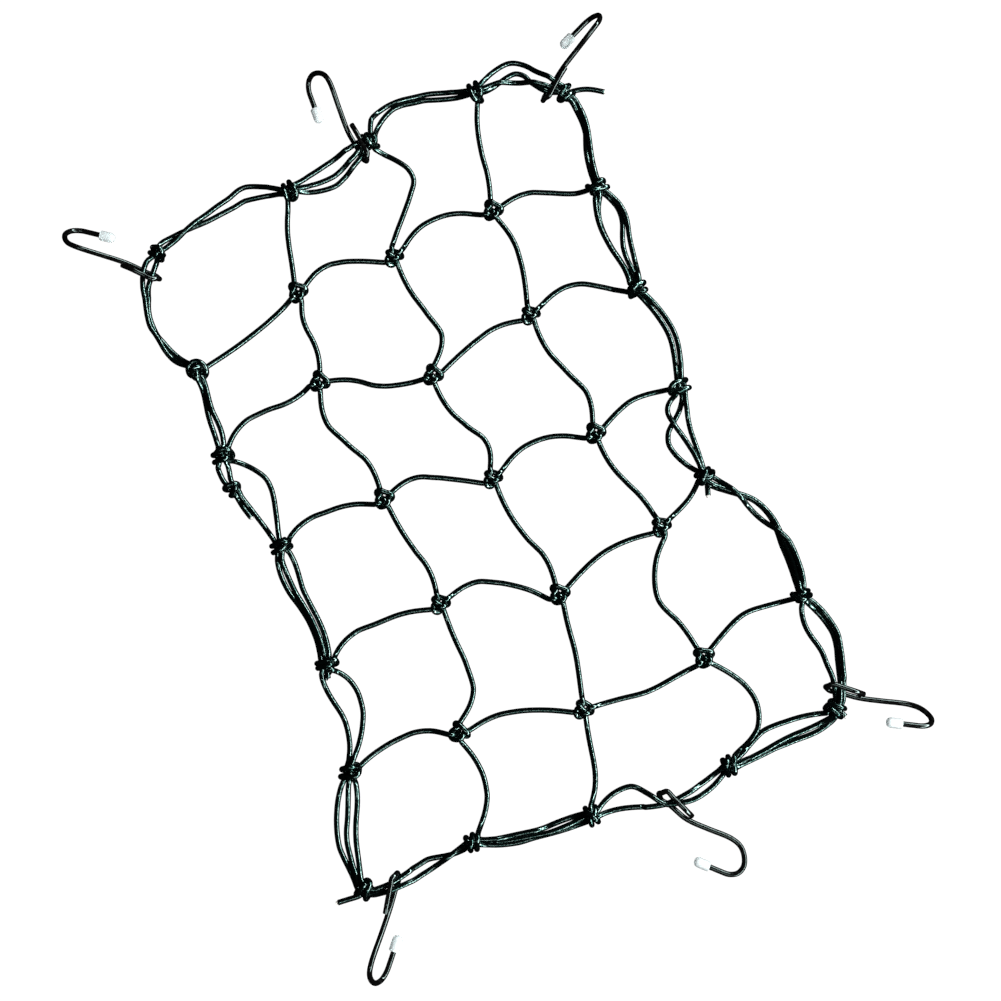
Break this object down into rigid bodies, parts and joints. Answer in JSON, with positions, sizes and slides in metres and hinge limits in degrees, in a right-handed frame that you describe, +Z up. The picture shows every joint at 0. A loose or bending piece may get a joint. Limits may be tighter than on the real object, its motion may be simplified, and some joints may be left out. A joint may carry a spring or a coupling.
{
  "type": "cargo net",
  "caption": "Elastic cord cargo net lying flat, a square mesh tied with knots and bordered by bundled cords, held by coated wire hooks with soft white tips.",
  "frame": {"origin": "the underside of the net's middle knot, where it rests on the floor", "axes": "+Z up from the floor, +Y along the net's length to the far edge, +X across it to the right"},
  "size_m": [0.5155, 0.7415, 0.03],
  "materials": {
    "elastic_cord": "tight braided black sleeve over a rubber core",
    "coated_wire": "glossy black coating",
    "soft_tip": "smooth milky white, slightly see-through"
  },
  "bodies": {
    "root": {"net": "elastic_cord", "hook_far_left": "coated_wire", "hook_far_middle": "coated_wire", "hook_far_right": "coated_wire", "hook_near_right": "coated_wire", "hook_near_middle": "coated_wire", "hook_near_left": "coated_wire", "tip_far_left": "soft_tip", "tip_far_middle": "soft_tip", "tip_far_right": "soft_tip", "tip_near_right": "soft_tip", "tip_near_middle": "soft_tip", "tip_near_left": "soft_tip"}
  },
  "joints": []
}
